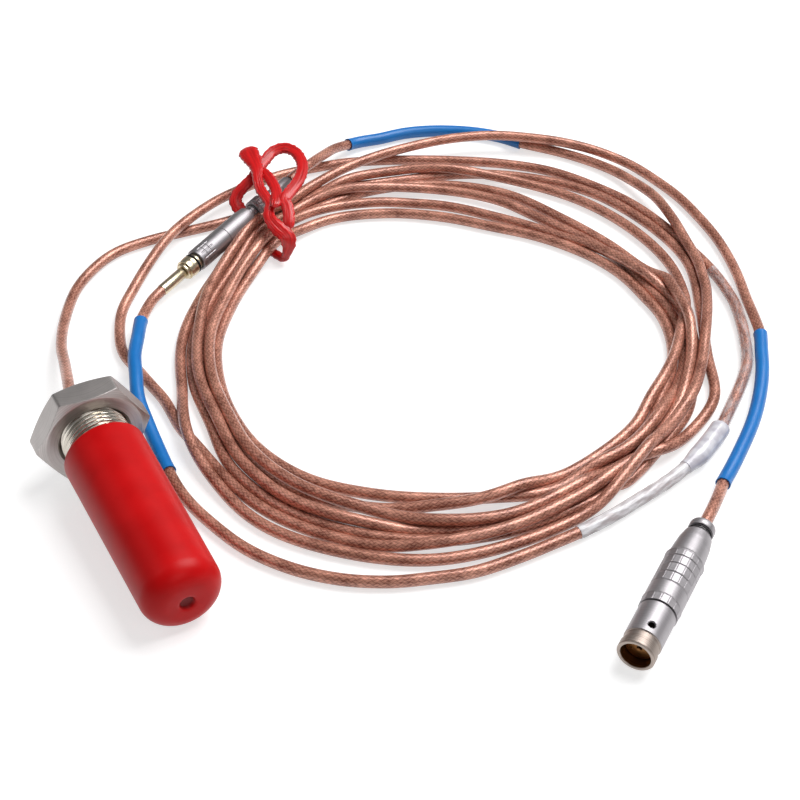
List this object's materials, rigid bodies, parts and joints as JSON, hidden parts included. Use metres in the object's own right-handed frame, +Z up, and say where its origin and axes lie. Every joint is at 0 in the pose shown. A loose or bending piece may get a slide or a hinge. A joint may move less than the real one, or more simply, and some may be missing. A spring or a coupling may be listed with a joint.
{
  "type": "eddy current sensor",
  "caption": "Threaded cylindrical eddy current probe with hexagon lock nut, protective cap, coiled thin cable, inline connector and push-pull end connector.",
  "frame": {"origin": "on the surface the probe lies on, under the middle of the probe's box (cable and connectors not counted)", "axes": "-Y towards the probe's tip, along its axis, which dips 3.2 degrees; +Z up; +X towards the coil of cable"},
  "size_m": [0.25, 0.2613, 0.0304],
  "materials": {
    "steel": "turned stainless steel",
    "nut_steel": "turned and milled stainless steel",
    "satin_chrome": "satin chrome plated brass",
    "gold": "pale gold plated brass",
    "brass": "bare brass",
    "copper_cable": "clear jacket over fine copper braid",
    "winding": "enamelled copper wire",
    "blue_sleeve": "blue heat-shrink sleeve",
    "clear_sleeve": "clear heat-shrink sleeve",
    "red_cap": "soft red vinyl",
    "red_tie": "red vinyl over wire",
    "black_ring": "black rubber",
    "white_insulator": "white insulating plastic",
    "tip_plastic": "beige engineering plastic",
    "potting": "dark casting resin"
  },
  "bodies": {
    "probe": {"probe_case": "steel", "probe_tip": "tip_plastic", "coil_former": "white_insulator", "coil_winding": "winding", "potting": "potting", "cable_ferrule": "steel", "probe_cable_out": "copper_cable", "probe_cable_return": "copper_cable", "clear_sleeve_loose": "clear_sleeve", "clear_sleeve_wide": "clear_sleeve", "clear_sleeve_tight": "clear_sleeve", "probe_cable_lower": "copper_cable", "blue_sleeve_plug": "blue_sleeve", "plug_lead": "copper_cable", "socket_lead": "copper_cable", "blue_sleeve_socket": "blue_sleeve", "extension_cable_in": "copper_cable", "extension_cable_out": "copper_cable", "blue_sleeve_end": "blue_sleeve", "end_lead": "copper_cable", "cable_coil": "copper_cable", "twist_tie": "red_tie", "twist_tie_strand": "red_tie", "crimp_ferrule": "gold", "plug_collar": "gold", "plug_ring": "black_ring", "plug_insulator": "white_insulator", "plug_pin": "brass", "socket_shell": "satin_chrome", "socket_nut": "satin_chrome", "collet_nut": "satin_chrome", "end_ring": "black_ring", "front_barrel": "satin_chrome", "end_insert": "brass", "end_contact": "brass"},
    "nut": {"lock_nut": "nut_steel"},
    "cap": {"protective_cap": "red_cap"},
    "plug_sleeve": {"latch_sleeve": "satin_chrome"},
    "end_sleeve": {"grip_shell": "satin_chrome"}
  },
  "joints": [
    {"name": "lock_nut_turn", "type": "hinge", "parent": "probe", "child": "nut", "pos_m": [0, 0.02823, 0.01502], "axis": [0, -0.9984, -0.0559], "continuous": true},
    {"name": "cap_pull_off", "type": "slide", "parent": "probe", "child": "cap", "axis": [0, -0.9984, -0.0559], "range_m": [0, 0.055]},
    {"name": "plug_sleeve_slide", "type": "slide", "parent": "probe", "child": "plug_sleeve", "axis": [-0.8906, -0.4446, -0.0959], "range_m": [0, 0.001], "stiffness_N_per_m": 200},
    {"name": "end_sleeve_slide", "type": "slide", "parent": "probe", "child": "end_sleeve", "axis": [0.8245, 0.5658, 0], "range_m": [0, 0.001], "stiffness_N_per_m": 200}
  ]
}
